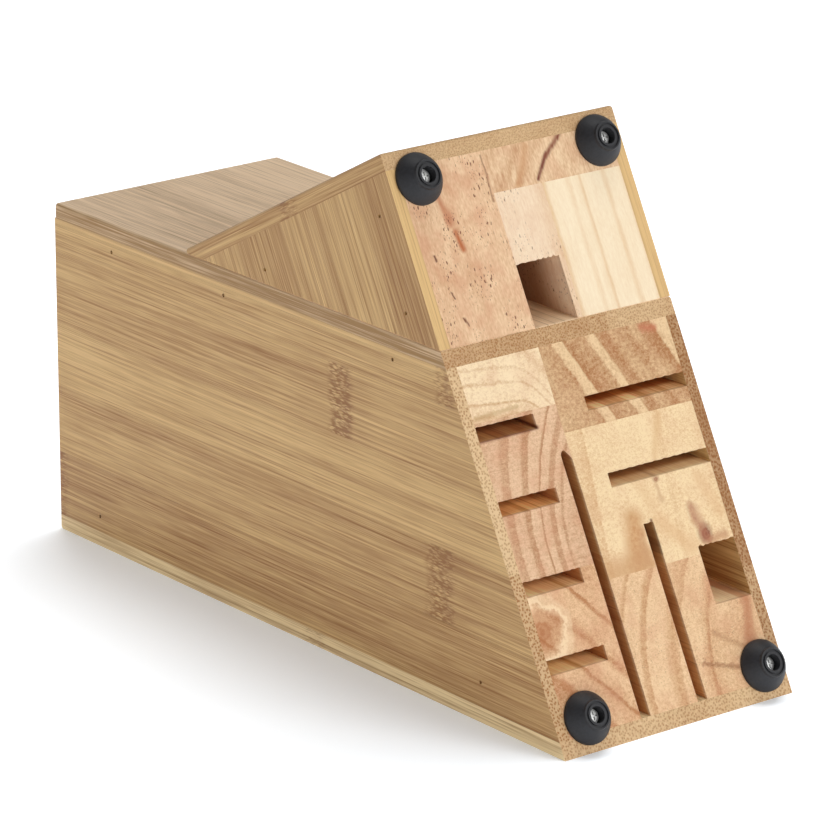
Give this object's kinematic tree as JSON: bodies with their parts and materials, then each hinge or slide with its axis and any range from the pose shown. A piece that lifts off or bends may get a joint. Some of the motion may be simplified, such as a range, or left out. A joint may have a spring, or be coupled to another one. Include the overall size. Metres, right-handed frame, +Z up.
{
  "type": "knife block",
  "caption": "Slanted bamboo and hardwood knife block with a wedge front, slots for knives, steel and scissors, and rubber feet, lying on its back and empty.",
  "frame": {"origin": "centre of the back panel's outer face, which the block lies on", "axes": "+X along the slots towards the sloping base with the feet, +Y towards the block's right side, +Z up from the back panel to the front panel"},
  "size_m": [0.2926, 0.1, 0.1847],
  "materials": {
    "bamboo_side": "bamboo strips seen on the flat, thin clear oil, satin",
    "bamboo_front": "bamboo strips on edge, thin clear oil, satin",
    "bamboo_back": "bamboo strips, thin clear oil, satin",
    "rubberwood": "sawn and sanded light hardwood staves, unfinished in the slots",
    "foot_rubber": "moulded, semi-matt",
    "washer_steel": "zinc plated",
    "screw_steel": "zinc plated, bright",
    "pin_steel": "plain bright wire, dulled"
  },
  "bodies": {
    "root": {"block_pins_left": "pin_steel", "block_pins_right": "pin_steel", "core_left_back": "rubberwood", "core_left_front": "rubberwood", "core_left_middle": "rubberwood", "core_right_back_inner": "rubberwood", "core_right_back_outer": "rubberwood", "core_right_front": "rubberwood", "core_right_middle": "rubberwood", "foot_back_left": "foot_rubber", "foot_back_right": "foot_rubber", "foot_front_left": "foot_rubber", "foot_front_right": "foot_rubber", "foot_screw_back_left": "screw_steel", "foot_screw_back_right": "screw_steel", "foot_screw_front_left": "screw_steel", "foot_screw_front_right": "screw_steel", "foot_washer_back_left": "washer_steel", "foot_washer_back_right": "washer_steel", "foot_washer_front_left": "washer_steel", "foot_washer_front_right": "washer_steel", "main_back_panel": "bamboo_back", "main_front_panel": "bamboo_front", "main_side_left": "bamboo_side", "main_side_right": "bamboo_side", "wedge_core_cap": "rubberwood", "wedge_core_left": "rubberwood", "wedge_core_middle": "rubberwood", "wedge_core_right": "rubberwood", "wedge_front_panel": "bamboo_front", "wedge_pins_left": "pin_steel", "wedge_pins_right": "pin_steel", "wedge_side_left": "bamboo_side", "wedge_side_right": "bamboo_side"}
  },
  "joints": []
}
